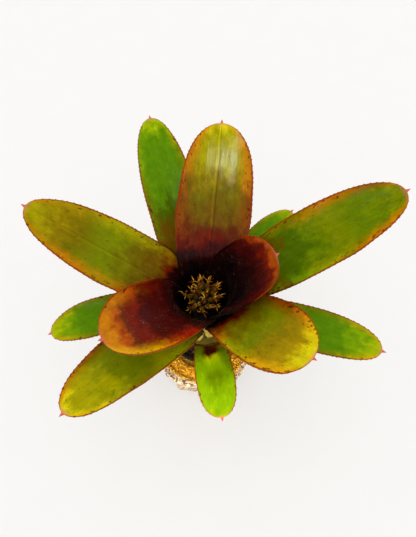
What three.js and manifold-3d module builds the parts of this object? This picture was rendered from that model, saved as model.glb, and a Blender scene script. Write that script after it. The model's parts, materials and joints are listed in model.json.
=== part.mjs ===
// A neoregelia bromeliad in its pot: a rosette of twelve strap leaves whose sheaths wrap round one
// another into a tank, a spent flower head sitting in the tank, and a short stem rooted in a black
// nursery pot that is packed with coir inside a bark pot.
// Millimetres, +Z up. The origin is the centre of the bark pot's underside.
import * as THREE from "three";
import { mergeVertices } from "three/addons/utils/BufferGeometryUtils.js";
import Module from "manifold-3d";

// ---------- Driving dimensions ----------
const CLEARANCE = 0.3; // left between two pieces that touch

// Bark pot
const POT_HEIGHT = 80;
const POT_RIM_RADIUS = 51;
const POT_FOOT_RADIUS = 39;
const POT_RIM_INNER_RADIUS = 45;
const POT_FOOT_INNER_RADIUS = 31;
const POT_FLOOR = 6;
const BARK_RIM_RELIEF = 2.5; // how far the lobes of the bark stand in and out, at the rim
const BARK_FOOT_RELIEF = 6; // and at the foot
const BARK_LOBES = [
  { count: 5, facing: 234, share: 0.51 },
  { count: 4, facing: 232, share: 0.34 },
];
const BARK_RIDGES = 13;
const BARK_RIDGE_SHARE = 0.2; // of the relief
const BARK_RIDGE_PITCH = 15; // the larger, the steeper the ridges run up the wall
const BARK_BANDS = 6; // rows of facets up the wall

// Nursery pot, pushed towards the back of the bark pot
const NURSERY_BACK = 8;
const NURSERY_BASE = 20; // height of its underside
const NURSERY_TOP = 92;
const NURSERY_RIM_RADIUS = 37;
const NURSERY_FOOT_RADIUS = 24.5;
const NURSERY_WALL = 1.2;
const NURSERY_LIP = 4; // height of the thick band at the rim
const NURSERY_LIP_WALL = 2.4;
const DRAIN_RADIUS = 3.5;
const DRAIN_COUNT = 4;
const DRAIN_REACH = 14.7; // distance of a drain hole from the middle of the floor

// Fillings
const COIR_TOP = 75;
const COIR_RELIEF = 1.2;
const COIR_LUMP_RINGS = [0.92, 0.84, 0.76]; // shares of its radius
const SOIL_TOP = 88;
const SOIL_RELIEF = 0.8;
const SOIL_LUMP_RINGS = [0.8, 0.6];

// Stem
const ROSETTE_BACK = 12; // the rosette leans on the back of its pot
const STEM_RADIUS = 10;
const STEM_ABOVE_SOIL = 34;
const STEM_IN_SOIL = 28;
const STEM_SHOULDER = 26; // height where the stem starts to narrow
const STEM_TOP_RADIUS = 6;
const STEM_END_RADIUS = 7; // at the bottom, in the soil
const STEM_END_TAPER = 8;

// Sheaths: every leaf clasps the stem, swells out and then stands upright round the tank.
// Ring 0 is the innermost and sits highest, and each ring is one sheath step further out.
const SHEATH_STEP = 1.5;
const SHEATH_WALL = 0.8;
const INNER_FOOT_HEIGHT = 15;
const FOOT_ANGLE = 38;
const UPRIGHT_ANGLE = 88;
const SWELL_LENGTH = 20; // over which a sheath turns from the foot angle to upright
const FOOT_WIDTH_SHARE = 0.45; // width of a sheath at the stem, as a share of the blade's

// Blades
const BLADE_WALL = 1.2; // along the midrib
const MARGIN_WALL = 0.8;
const BEND_START = 8; // the leaf starts to bend outward this far below the tank's mouth
const BEND_LENGTH = 40;
const OPEN_START = 12; // the wrapped sheath starts to open into the blade this far below it
const OPEN_LENGTH = 45;
const ROLL_SHARE = 0.5; // share of the blade over which its roll comes in
const SWEEP_GROWTH = 1.5; // how late along the blade its sweep builds up
const TIP_ROUNDNESS = 2.7;
const TIP_HALF_WIDTH = 1.2;
const TIP_SPINE = 3;
const TOOTH_BASE = 2;
const TOOTH_LENGTH = 1;
const TOOTH_FORWARD = 0.8; // how far along its base a tooth points
const TOOTH_STATIONS = 9;
const TOOTH_CROWDING = 1.6; // above 1, teeth stand closer together towards the tip
const TIP_SHARES = [0.5, 0.85, 1]; // of the way from the last tooth to the tip
const SWELL_STATIONS = [0, 5, 10, 15, 20, 26]; // distances from where a sheath starts to swell
const LAST_SHEATH_GAP = 4; // least distance from the last of them to the tank's mouth
const COLUMNS = 6; // facets across a leaf
const WALK_STEP = 1; // the midrib is followed in steps of at most this length

// The leaves from the centre outwards, each about 137 degrees on from the one before. turn is the
// heading seen from above, from +X towards +Y. sheath is measured along the leaf up to the tank's
// mouth, length from there to the tip. rise is the blade's slope where it leaves the tank and droop
// is what it loses on the way to the tip. roll tilts a blade about its midrib, sweep bends it
// sideways, neck is its width at the tank's mouth as a share of the greatest width, widest is where
// along the blade that is, and cup is the radius of its hollow cross-section.
const BLADE = { roll: 0, sweep: 0, neck: 0.82, widest: 0.5, cup: 90 };
const LEAVES = [
  { name: "leaf_inner_right", ring: 0, turn: 4, sheath: 60, length: 68, width: 56, rise: 57, droop: 7,
    roll: 9, sweep: 8, neck: 1.12, widest: 0.6, cup: 42 },
  { name: "leaf_inner_left", ring: 1, turn: 225, sheath: 58.5, length: 97, width: 60, rise: 46, droop: 15,
    roll: -8, sweep: -9, neck: 1, cup: 45 },
  { name: "leaf_back", ring: 2, turn: 81, sheath: 56.5, length: 133, width: 64, rise: 45, droop: 20,
    sweep: 5, widest: 0.4, cup: 75 },
  { name: "leaf_front_right", ring: 3, turn: 316, sheath: 55, length: 107, width: 57, rise: 41, droop: 10,
    roll: 8, neck: 0.77, widest: 0.56, cup: 70 },
  { name: "leaf_left_long", ring: 4, turn: 165, sheath: 53.5, length: 147, width: 59, rise: 39, droop: 10,
    sweep: -5, neck: 0.72, widest: 0.2 },
  { name: "leaf_right_long", ring: 4, turn: 18, sheath: 52.5, length: 169, width: 55, rise: 37, droop: 13,
    roll: 5, sweep: 2, neck: 0.72, widest: 0.45 },
  { name: "leaf_front_left", ring: 5, turn: 229, sheath: 51, length: 136, width: 51, rise: 35, droop: 15,
    roll: 6, sweep: 1.5, widest: 0.3 },
  { name: "leaf_back_left", ring: 5, turn: 109, sheath: 51, length: 157, width: 47, rise: 32, droop: 19,
    sweep: -4, widest: 0.35 },
  { name: "leaf_right_low", ring: 6, turn: 338, sheath: 48, length: 133, width: 38, rise: 27, droop: 21,
    sweep: -1 },
  { name: "leaf_left_low", ring: 6, turn: 190, sheath: 46, length: 115, width: 35, rise: 20, droop: 37,
    sweep: 9 },
  { name: "leaf_back_right_low", ring: 7, turn: 47, sheath: 43.5, length: 103, width: 32, rise: 18,
    droop: 20 },
  { name: "leaf_front_low", ring: 7, turn: 279, sheath: 24, length: 80, width: 33, rise: 24, droop: 26,
    neck: 0.76, widest: 0.55 },
].map((leaf) => ({ ...BLADE, ...leaf }));

// Flower head: seed capsules on a domed core, each crowned by three dried sepals
const SCAPE_RADIUS = 5;
const CORE_RADIUS = 12;
const CORE_NECK_RADIUS = 10;
const CORE_DEPTH = 9; // from the foot of the dome down to the neck
const CORE_CENTRE = 59; // height of the foot of the dome above the soil
const CORE_DOME = 8; // height of the dome
const CORE_SIDES = 12;
const CAPSULE_COUNT = 21;
const CAPSULE_RADIUS = 2.7;
const CAPSULE_HALF_LENGTH = 6;
const CAPSULE_LIFT = 1.5; // how far its middle stands off the dome
const CAPSULE_TILT = 68; // of the outermost seats on the dome
const LEAN_OUT = 0.54; // how far a capsule follows the direction of its seat
const LEAN_UP = 0.46; // and how far it stands up
const SEPALS = 3;
const SEPAL_LENGTH = 9;
const SEPAL_RADIUS = 0.9;
const SEPAL_SINK = 1; // how far its root is sunk into the capsule
const SEPAL_SPREAD = [18, 40]; // degrees from the capsule's axis, smallest and largest
const GOLDEN_ANGLE = 137.5;

// Colours
const OLIVE = 0x8a8c1e;
const GREEN = 0x6fa31c;
const MAROON = 0x5a1a16;
const GOLD = 0xa8742e;
const BARK = 0xd9c8b8;
const COIR = 0xc98a3a;
const SOIL = 0x2b211a;
const BLACK = 0x0f1112;
const STEM = 0x8c7a4a;

const ROUND = 40; // sides of a round piece

const wasm = await Module();
wasm.setup();

// ---------- Small helpers ----------
const radians = THREE.MathUtils.degToRad;
const mix = THREE.MathUtils.lerp;
const point = (x, z) => new THREE.Vector2(x, z);

function smooth(t) {
  return THREE.MathUtils.smoothstep(t, 0, 1);
}

// Random numbers from 0 to 1 that are the same on every run.
function seeded(seed) {
  let state = seed;
  return () => {
    state = (state * 1664525 + 1013904223) % 4294967296;
    return state / 4294967296;
  };
}

function positionsOnly(geometry) {
  geometry.deleteAttribute("normal");
  geometry.deleteAttribute("uv");
  return mergeVertices(geometry, 1e-4);
}

function toSolid(geometry) {
  const merged = positionsOnly(geometry);
  return new wasm.Manifold(
    new wasm.Mesh({
      numProp: 3,
      vertProperties: new Float32Array(merged.attributes.position.array),
      triVerts: new Uint32Array(merged.index.array),
    }),
  );
}

function toGeometry(solid) {
  const mesh = solid.getMesh();
  const geometry = new THREE.BufferGeometry();
  geometry.setAttribute("position", new THREE.BufferAttribute(mesh.vertProperties, 3));
  geometry.setIndex(new THREE.BufferAttribute(mesh.triVerts, 1));
  return geometry;
}

// A turned solid about +Z from (radius, height) points that start and end on the axis.
function turned(profile, sides = ROUND) {
  const geometry = new THREE.LatheGeometry(profile, sides);
  geometry.rotateX(Math.PI / 2);
  return positionsOnly(geometry);
}

function piece(name, geometry, colour, roughness) {
  const faceted = geometry.toNonIndexed();
  faceted.computeVertexNormals();
  const material = new THREE.MeshStandardMaterial({ color: colour, roughness, metalness: 0 });
  const mesh = new THREE.Mesh(faceted, material);
  mesh.name = name;
  return mesh;
}

// ---------- Pots and their fillings ----------
function barkInnerRadius(height) {
  return mix(POT_FOOT_INNER_RADIUS, POT_RIM_INNER_RADIUS, height / POT_HEIGHT);
}

// The bark pot's outer face is lobed like a root base: uneven lobes run up the wall and fade
// towards the rim, with narrow slanting ridges on them.
function barkOuterRadius(turn, height) {
  const climbed = height / POT_HEIGHT;
  let wave = BARK_RIDGE_SHARE * Math.sin(BARK_RIDGES * turn - height / BARK_RIDGE_PITCH);
  for (const { count, facing, share } of BARK_LOBES) {
    wave += share * Math.cos(count * (turn - radians(facing)));
  }
  const relief = mix(BARK_FOOT_RELIEF, BARK_RIM_RELIEF, climbed);
  return mix(POT_FOOT_RADIUS, POT_RIM_RADIUS, climbed) + relief * wave;
}

function barkPot() {
  const profile = [point(0, 0)];
  for (let i = 0; i <= BARK_BANDS; i += 1) {
    const share = i / BARK_BANDS;
    profile.push(point(mix(POT_FOOT_RADIUS, POT_RIM_RADIUS, share), share * POT_HEIGHT));
  }
  profile.push(point(barkInnerRadius(POT_HEIGHT), POT_HEIGHT));
  profile.push(point(barkInnerRadius(POT_FLOOR), POT_FLOOR), point(0, POT_FLOOR));
  const geometry = turned(profile);
  const at = geometry.attributes.position;
  for (let i = 0; i < at.count; i += 1) {
    const height = at.getZ(i);
    const radius = Math.hypot(at.getX(i), at.getY(i));
    if (radius < barkInnerRadius(height) + 1) continue;
    const turn = Math.atan2(at.getY(i), at.getX(i));
    const outer = barkOuterRadius(turn, height);
    at.setXYZ(i, outer * Math.cos(turn), outer * Math.sin(turn), height);
  }
  return piece("bark_pot", geometry, BARK, 0.9);
}

function nurseryOuterRadius(height) {
  const share = (height - NURSERY_BASE) / (NURSERY_TOP - NURSERY_BASE);
  return mix(NURSERY_FOOT_RADIUS, NURSERY_RIM_RADIUS - NURSERY_LIP_WALL + NURSERY_WALL, share);
}

// The space that the nursery pot takes up, a little wider than the pot by `clear`.
function nurseryEnvelope(clear) {
  const profile = [
    point(0, NURSERY_BASE - clear),
    point(nurseryOuterRadius(NURSERY_BASE) + clear, NURSERY_BASE - clear),
    point(nurseryOuterRadius(NURSERY_TOP) + clear, NURSERY_TOP),
    point(0, NURSERY_TOP),
  ];
  return turned(profile).translate(0, NURSERY_BACK, 0);
}

// Moves the vertices of a filling's top face up and down, apart from those at its wall.
function lumpyTop(geometry, top, wall, relief, seed) {
  const random = seeded(seed);
  const at = geometry.attributes.position;
  for (let i = 0; i < at.count; i += 1) {
    const atWall = Math.hypot(at.getX(i), at.getY(i)) > wall - 1;
    if (atWall || at.getZ(i) < top - 1) continue;
    at.setZ(i, top + relief * (2 * random() - 1));
  }
  return geometry;
}

function coirFill() {
  const bottom = POT_FLOOR + CLEARANCE;
  const wall = (height) => barkInnerRadius(height) - CLEARANCE;
  const profile = [point(0, bottom), point(wall(bottom), bottom), point(wall(COIR_TOP), COIR_TOP)];
  for (const share of COIR_LUMP_RINGS) {
    profile.push(point(wall(COIR_TOP) * share, COIR_TOP));
  }
  profile.push(point(0, COIR_TOP));
  const block = toSolid(lumpyTop(turned(profile), COIR_TOP, wall(COIR_TOP), COIR_RELIEF, 5));
  const ring = block.subtract(toSolid(nurseryEnvelope(CLEARANCE)));
  return piece("coir_fill", toGeometry(ring), COIR, 1);
}

function nurseryPot() {
  const inner = (height) => nurseryOuterRadius(height) - NURSERY_WALL;
  const lipBottom = NURSERY_TOP - NURSERY_LIP;
  const floorTop = NURSERY_BASE + NURSERY_WALL;
  const profile = [
    point(0, NURSERY_BASE),
    point(nurseryOuterRadius(NURSERY_BASE), NURSERY_BASE),
    point(nurseryOuterRadius(lipBottom), lipBottom),
    point(NURSERY_RIM_RADIUS, lipBottom),
    point(NURSERY_RIM_RADIUS, NURSERY_TOP),
    point(inner(NURSERY_TOP), NURSERY_TOP),
    point(inner(floorTop), floorTop),
    point(0, floorTop),
  ];
  let pot = toSolid(turned(profile));
  for (let i = 0; i < DRAIN_COUNT; i += 1) {
    const turn = ((i + 0.5) * 2 * Math.PI) / DRAIN_COUNT;
    const hole = new THREE.CylinderGeometry(DRAIN_RADIUS, DRAIN_RADIUS, 4 * NURSERY_WALL, 12);
    hole.rotateX(Math.PI / 2);
    hole.translate(DRAIN_REACH * Math.cos(turn), DRAIN_REACH * Math.sin(turn), NURSERY_BASE);
    pot = pot.subtract(toSolid(hole));
  }
  const geometry = toGeometry(pot).translate(0, NURSERY_BACK, 0);
  return piece("nursery_pot", geometry, BLACK, 0.35);
}

function stemHole() {
  const radius = STEM_RADIUS + CLEARANCE;
  const depth = STEM_IN_SOIL + CLEARANCE;
  const spare = 5;
  const hole = new THREE.CylinderGeometry(radius, radius, depth + spare, 24);
  hole.rotateX(Math.PI / 2);
  return hole.translate(0, ROSETTE_BACK, SOIL_TOP + (spare - depth) / 2);
}

function pottingMix() {
  const bottom = NURSERY_BASE + NURSERY_WALL + CLEARANCE;
  const wall = (height) => nurseryOuterRadius(height) - NURSERY_WALL - CLEARANCE;
  const profile = [point(0, bottom), point(wall(bottom), bottom), point(wall(SOIL_TOP), SOIL_TOP)];
  for (const share of SOIL_LUMP_RINGS) {
    profile.push(point(wall(SOIL_TOP) * share, SOIL_TOP));
  }
  profile.push(point(0, SOIL_TOP));
  const block = lumpyTop(turned(profile), SOIL_TOP, wall(SOIL_TOP), SOIL_RELIEF, 9);
  const mixWithHole = toSolid(block.translate(0, NURSERY_BACK, 0)).subtract(toSolid(stemHole()));
  return piece("potting_mix", toGeometry(mixWithHole), SOIL, 1);
}

// ---------- Stem ----------
function stem() {
  const profile = [
    point(0, -STEM_IN_SOIL),
    point(STEM_END_RADIUS, -STEM_IN_SOIL),
    point(STEM_RADIUS, STEM_END_TAPER - STEM_IN_SOIL),
    point(STEM_RADIUS, STEM_SHOULDER),
    point(STEM_TOP_RADIUS, STEM_ABOVE_SOIL),
    point(0, STEM_ABOVE_SOIL),
  ];
  return piece("stem", turned(profile, 24), STEM, 0.8);
}

// ---------- Leaves ----------
// How far a leaf runs straight out from the stem, under the inner rings, before its sheath swells.
function straightRun(leaf) {
  return (leaf.ring * SHEATH_STEP) / Math.cos(radians(FOOT_ANGLE));
}

// Slope of the midrib above the horizontal, in degrees, at a distance along the leaf.
function midribSlope(leaf, distance) {
  const swelling = smooth((distance - straightRun(leaf)) / SWELL_LENGTH);
  const sheathSlope = mix(FOOT_ANGLE, UPRIGHT_ANGLE, swelling);
  const along = THREE.MathUtils.clamp((distance - leaf.sheath) / leaf.length, 0, 1);
  const bladeSlope = leaf.rise - leaf.droop * along;
  const bent = smooth((distance - leaf.sheath + BEND_START) / BEND_LENGTH);
  return mix(sheathSlope, bladeSlope, bent);
}

function heading(leaf, distance) {
  const along = THREE.MathUtils.clamp((distance - leaf.sheath) / leaf.length, 0, 1);
  return radians(leaf.turn + leaf.sweep * along ** SWEEP_GROWTH);
}

function halfWidth(leaf, distance) {
  const half = leaf.width / 2;
  if (distance < leaf.sheath) {
    return half * mix(FOOT_WIDTH_SHARE, leaf.neck, smooth(distance / leaf.sheath));
  }
  const along = Math.min((distance - leaf.sheath) / leaf.length, 1);
  if (along < leaf.widest) return half * mix(leaf.neck, 1, smooth(along / leaf.widest));
  const past = (along - leaf.widest) / (1 - leaf.widest);
  return Math.max(half * Math.sqrt(1 - past ** TIP_ROUNDNESS), TIP_HALF_WIDTH);
}

// Distances along the leaf at which it gets a cross-section. `toothed` marks the short steps that
// carry a tooth on each margin. The steps get shorter towards the tip, which is round.
function stations(leaf) {
  const list = [{ distance: 0, toothed: false }];
  for (const past of SWELL_STATIONS) {
    const distance = straightRun(leaf) + past;
    if (distance === 0 || distance > leaf.sheath - LAST_SHEATH_GAP) continue;
    list.push({ distance, toothed: false });
  }
  list.push({ distance: leaf.sheath, toothed: false });
  for (let i = 1; i <= TOOTH_STATIONS; i += 1) {
    const along = 1 - (1 - i / (TOOTH_STATIONS + 1)) ** TOOTH_CROWDING;
    const middle = leaf.sheath + leaf.length * along;
    list.push({ distance: middle - TOOTH_BASE / 2, toothed: true });
    list.push({ distance: middle + TOOTH_BASE / 2, toothed: false });
  }
  const { distance } = list[list.length - 1];
  for (const share of TIP_SHARES) {
    list.push({ distance: mix(distance, leaf.sheath + leaf.length, share), toothed: false });
  }
  return list;
}

// Follows the midrib from the stem to the tip and gives its place at each station.
function midrib(leaf, list) {
  const turn = radians(leaf.turn);
  let radius = STEM_RADIUS + CLEARANCE + SHEATH_WALL / 2 / Math.sin(radians(FOOT_ANGLE));
  let height = INNER_FOOT_HEIGHT - straightRun(leaf);
  let x = radius * Math.cos(turn);
  let y = radius * Math.sin(turn);
  let walked = 0;
  return list.map(({ distance }) => {
    const steps = Math.max(1, Math.ceil((distance - walked) / WALK_STEP));
    const step = (distance - walked) / steps;
    for (let i = 0; i < steps; i += 1) {
      const slope = radians(midribSlope(leaf, walked + step / 2));
      const way = heading(leaf, walked + step / 2);
      radius += step * Math.cos(slope);
      height += step * Math.sin(slope);
      x += step * Math.cos(slope) * Math.cos(way);
      y += step * Math.cos(slope) * Math.sin(way);
      walked += step;
    }
    return { radius, height, centre: new THREE.Vector3(x, y, height) };
  });
}

// One cross-section: the points across the leaf's middle surface and the way each faces, which is
// up on the blade and towards the tank in the sheath.
function crossSection(leaf, distance, place) {
  const slope = radians(midribSlope(leaf, distance));
  const way = heading(leaf, distance);
  const flatSide = new THREE.Vector3(-Math.sin(way), Math.cos(way), 0);
  const flatUp = new THREE.Vector3(
    -Math.sin(slope) * Math.cos(way),
    -Math.sin(slope) * Math.sin(way),
    Math.cos(slope),
  );
  const roll = radians(leaf.roll) * smooth((distance - leaf.sheath) / (ROLL_SHARE * leaf.length));
  const side = flatSide.clone().multiplyScalar(Math.cos(roll)).addScaledVector(flatUp, Math.sin(roll));
  const up = flatUp.clone().multiplyScalar(Math.cos(roll)).addScaledVector(flatSide, -Math.sin(roll));
  const opened = smooth((distance - leaf.sheath + OPEN_START) / OPEN_LENGTH);
  const half = halfWidth(leaf, distance);
  const points = [];
  const faces = [];
  for (let i = 0; i <= COLUMNS; i += 1) {
    const across = half * ((2 * i) / COLUMNS - 1);
    const round = radians(leaf.turn) + across / place.radius;
    const wrapped = new THREE.Vector3(
      place.radius * Math.cos(round),
      place.radius * Math.sin(round),
      place.height,
    );
    const wrappedFace = new THREE.Vector3(
      -Math.sin(slope) * Math.cos(round),
      -Math.sin(slope) * Math.sin(round),
      Math.cos(slope),
    );
    const curl = across / leaf.cup;
    const blade = place.centre
      .clone()
      .addScaledVector(side, leaf.cup * Math.sin(curl))
      .addScaledVector(up, leaf.cup * (1 - Math.cos(curl)));
    const bladeFace = up.clone().multiplyScalar(Math.cos(curl)).addScaledVector(side, -Math.sin(curl));
    points.push(wrapped.lerp(blade, opened));
    faces.push(wrappedFace.lerp(bladeFace, opened).normalize());
  }
  return { points, faces, opened, side };
}

function leafMesh(leaf) {
  const list = stations(leaf);
  const places = midrib(leaf, list);
  const sections = list.map(({ distance }, i) => crossSection(leaf, distance, places[i]));
  const vertices = [];
  const triangles = [];
  const add = (v) => vertices.push(v.x, v.y, v.z) / 3 - 1;
  const quad = (a, b, c, d) => triangles.push(a, b, c, a, c, d);

  // A section's corners on the two faces of the leaf, thinner towards the margins.
  const rows = sections.map(({ points, faces, opened }) => {
    const row = { upper: [], lower: [] };
    points.forEach((middle, i) => {
      const edge = ((2 * i) / COLUMNS - 1) ** 2;
      const wall = mix(SHEATH_WALL, mix(BLADE_WALL, MARGIN_WALL, edge), opened);
      row.upper.push(add(middle.clone().addScaledVector(faces[i], wall / 2)));
      row.lower.push(add(middle.clone().addScaledVector(faces[i], -wall / 2)));
    });
    return row;
  });

  // A tooth points outward and a little forward, between two sections that lie close together.
  const tooth = (i, column, sign) => {
    const point = sections[i].points[column].clone().lerp(sections[i + 1].points[column], TOOTH_FORWARD);
    return add(point.addScaledVector(sections[i].side, sign * TOOTH_LENGTH));
  };
  const margin = (a, b, c, d, tip) => {
    if (tip === null) quad(a, b, c, d);
    else triangles.push(a, b, tip, b, c, tip, c, d, tip, d, a, tip);
  };

  for (let i = 0; i + 1 < rows.length; i += 1) {
    const near = rows[i];
    const far = rows[i + 1];
    for (let j = 0; j < COLUMNS; j += 1) {
      quad(near.upper[j], far.upper[j], far.upper[j + 1], near.upper[j + 1]);
      quad(near.lower[j + 1], far.lower[j + 1], far.lower[j], near.lower[j]);
    }
    const toothed = list[i].toothed;
    const right = toothed ? tooth(i, 0, -1) : null;
    const left = toothed ? tooth(i, COLUMNS, 1) : null;
    margin(near.lower[0], far.lower[0], far.upper[0], near.upper[0], right);
    margin(near.upper[COLUMNS], far.upper[COLUMNS], far.lower[COLUMNS], near.lower[COLUMNS], left);
  }

  // The foot is cut square, and the tip runs out into a spine.
  const foot = rows[0];
  const end = rows[rows.length - 1];
  const before = places[places.length - 2].centre;
  const last = places[places.length - 1].centre;
  const forward = last.clone().sub(before).normalize();
  const spine = add(last.clone().addScaledVector(forward, TIP_SPINE));
  for (let j = 0; j < COLUMNS; j += 1) {
    quad(foot.upper[j], foot.upper[j + 1], foot.lower[j + 1], foot.lower[j]);
    triangles.push(end.upper[j], spine, end.upper[j + 1]);
    triangles.push(end.lower[j + 1], spine, end.lower[j]);
  }
  triangles.push(end.lower[0], spine, end.upper[0]);
  triangles.push(end.upper[COLUMNS], spine, end.lower[COLUMNS]);

  const geometry = new THREE.BufferGeometry();
  geometry.setAttribute("position", new THREE.Float32BufferAttribute(vertices, 3));
  geometry.setIndex(triangles);
  const colours = [MAROON, OLIVE, GREEN];
  return piece(leaf.name, geometry, colours[Math.min(2, Math.floor(leaf.ring / 2))], 0.35);
}

// ---------- Flower head ----------
function headCore() {
  const base = STEM_ABOVE_SOIL + CLEARANCE;
  const profile = [
    point(0, base),
    point(SCAPE_RADIUS, base),
    point(CORE_NECK_RADIUS, CORE_CENTRE - CORE_DEPTH),
  ];
  for (const turn of [0, 30, 60].map(radians)) {
    profile.push(point(CORE_RADIUS * Math.cos(turn), CORE_CENTRE + CORE_DOME * Math.sin(turn)));
  }
  profile.push(point(0, CORE_CENTRE + CORE_DOME));
  return toSolid(turned(profile, CORE_SIDES));
}

// One capsule along +Y with its sepals round its upper end.
function capsuleParts(random) {
  const capsule = new THREE.SphereGeometry(1, 5, 4);
  capsule.scale(CAPSULE_RADIUS, CAPSULE_HALF_LENGTH, CAPSULE_RADIUS);
  const parts = [capsule];
  for (let i = 0; i < SEPALS; i += 1) {
    const sepal = new THREE.ConeGeometry(SEPAL_RADIUS, SEPAL_LENGTH, 3);
    sepal.translate(0, SEPAL_LENGTH / 2 - SEPAL_SINK, 0);
    sepal.rotateZ(radians(mix(...SEPAL_SPREAD, random())));
    sepal.rotateY(((i + 0.4 * random()) * 2 * Math.PI) / SEPALS);
    parts.push(sepal.translate(0, CAPSULE_HALF_LENGTH - SEPAL_SINK, 0));
  }
  return parts;
}

// Capsules are spread over the dome by the golden angle, each tilted out from the middle.
function flowerHead() {
  let head = headCore();
  const random = seeded(12);
  const upright = new THREE.Vector3(0, 1, 0);
  for (let i = 0; i < CAPSULE_COUNT; i += 1) {
    const tilt = radians(CAPSULE_TILT * Math.sqrt((i + 0.5) / CAPSULE_COUNT));
    const turn = radians(GOLDEN_ANGLE * i);
    const out = new THREE.Vector3(
      Math.sin(tilt) * Math.cos(turn),
      Math.sin(tilt) * Math.sin(turn),
      Math.cos(tilt),
    );
    const seat = out.clone().multiply(new THREE.Vector3(CORE_RADIUS, CORE_RADIUS, CORE_DOME));
    seat.z += CORE_CENTRE;
    const lean = out.clone().multiplyScalar(LEAN_OUT);
    lean.z += LEAN_UP;
    lean.normalize();
    const place = new THREE.Matrix4().makeRotationFromQuaternion(
      new THREE.Quaternion().setFromUnitVectors(upright, lean),
    );
    place.setPosition(seat.addScaledVector(lean, CAPSULE_LIFT));
    for (const part of capsuleParts(random)) head = head.add(toSolid(part.applyMatrix4(place)));
  }
  return piece("flower_head", toGeometry(head), GOLD, 0.6);
}

// ---------- The whole plant ----------
const rosette = new THREE.Group();
rosette.position.set(0, ROSETTE_BACK, SOIL_TOP);
rosette.add(stem(), flowerHead(), ...LEAVES.map(leafMesh));

const plant = new THREE.Group();
plant.add(barkPot(), coirFill(), nurseryPot(), pottingMix(), rosette);

export default plant;
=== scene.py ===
import json
import math

import bpy
import numpy as np
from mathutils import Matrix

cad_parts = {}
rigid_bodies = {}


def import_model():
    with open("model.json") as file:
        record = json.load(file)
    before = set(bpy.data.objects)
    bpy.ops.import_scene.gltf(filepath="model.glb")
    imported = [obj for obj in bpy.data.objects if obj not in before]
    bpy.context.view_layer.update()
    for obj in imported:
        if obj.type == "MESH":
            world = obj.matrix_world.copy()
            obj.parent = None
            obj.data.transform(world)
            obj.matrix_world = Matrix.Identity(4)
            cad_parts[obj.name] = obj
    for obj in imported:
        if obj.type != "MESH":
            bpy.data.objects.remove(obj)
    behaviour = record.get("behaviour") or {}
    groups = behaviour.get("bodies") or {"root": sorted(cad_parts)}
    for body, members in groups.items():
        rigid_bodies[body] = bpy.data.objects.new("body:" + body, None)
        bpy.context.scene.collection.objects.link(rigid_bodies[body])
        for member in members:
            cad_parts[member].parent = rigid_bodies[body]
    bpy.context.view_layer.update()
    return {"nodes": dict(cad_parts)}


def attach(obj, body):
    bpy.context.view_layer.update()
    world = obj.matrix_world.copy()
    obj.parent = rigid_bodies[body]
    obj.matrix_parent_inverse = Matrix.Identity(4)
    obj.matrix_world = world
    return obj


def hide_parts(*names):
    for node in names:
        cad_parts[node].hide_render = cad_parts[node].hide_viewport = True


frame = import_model()
nodes = frame["nodes"]

MM = 0.001
TAU = 2 * math.pi

# ---------- Dimensions shared with the solids, in millimetres and degrees ----------
POT_HEIGHT = 80
POT_RIM_RADIUS = 51
POT_FOOT_RADIUS = 39
POT_RIM_INNER_RADIUS = 45
POT_FOOT_INNER_RADIUS = 31
POT_FLOOR = 6
BARK_RIM_RELIEF = 2.5
BARK_FOOT_RELIEF = 6
BARK_LOBES = ((5, 234, 0.51), (4, 232, 0.34))  # how many, which way one faces, share of the relief
BARK_RIDGES = 13
BARK_RIDGE_SHARE = 0.2
BARK_RIDGE_PITCH = 15
NURSERY_BACK = 8
NURSERY_RIM_RADIUS = 37
COIR_TOP = 75
SOIL_TOP = 88
SOIL_RADIUS = 33.5
ROSETTE = np.array([0.0, 12.0, 88.0])
STEM_RADIUS = 10
CLEARANCE = 0.3
SHEATH_STEP = 1.5
SHEATH_WALL = 0.8
INNER_FOOT_HEIGHT = 15
FOOT_ANGLE = 38
UPRIGHT_ANGLE = 88
SWELL_LENGTH = 20
FOOT_WIDTH_SHARE = 0.45
BLADE_WALL = 1.2
MARGIN_WALL = 0.8
BEND_START = 8
BEND_LENGTH = 40
OPEN_START = 12
OPEN_LENGTH = 45
TIP_ROUNDNESS = 2.7
TIP_HALF_WIDTH = 1.2
TIP_SPINE = 3

# ---------- Colours, as 8-bit sRGB ----------
PALETTE = {
    # ink, the near-black at the bottom of the leaves, on the sheaths' inner faces and on the margins
    # below gloom, is the leaves' dark maroon with painted shade of the tank's depth in it.
    "ink": (12, 4, 6),
    "wine": (36, 8, 8),
    "maroon": (66, 10, 8),
    "red": (104, 22, 4),
    "crimson": (140, 28, 6),
    "russet": (96, 38, 2),
    "rust": (130, 68, 2),
    "ember": (164, 70, 6),
    "orange": (184, 112, 2),
    "amber": (210, 154, 4),
    "bronze": (104, 74, 0),
    "olive": (108, 98, 0),
    "khaki": (130, 112, 0),
    "moss": (112, 122, 0),
    "citron": (156, 150, 1),
    "leaf": (72, 98, 0),
    "green": (92, 114, 0),
    "grass": (86, 130, 0),
    "fresh": (118, 152, 0),
    "lime": (156, 172, 1),
    "tan": (156, 130, 2),
    "yellow": (204, 190, 10),
    # The next pale pink is a painted sheen on leaf_inner_right's dark red tip.
    "blush": (202, 120, 78),
    "rose": (205, 96, 88),
    "margin": (138, 48, 4),
    "speck": (70, 20, 4),
    "scurf": (150, 158, 130),
    "husk": (188, 166, 78),
    # The pale straw below brightens leaf_front_low's shaded sheath: painted light.
    "straw": (255, 234, 104),
}


def linear(colour):
    """An (r, g, b) of 8-bit sRGB, or a name of the palette, as the linear RGBA of a shader."""
    values = np.array(PALETTE[colour] if isinstance(colour, str) else colour) / 255
    low = values / 12.92
    high = ((values + 0.055) / 1.055) ** 2.4
    return (*np.where(values < 0.04045, low, high), 1.0)


# ---------- Small helpers ----------
def smooth(t):
    t = np.clip(t, 0, 1)
    return t * t * (3 - 2 * t)


def mix(a, b, t):
    return a + (b - a) * t


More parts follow.
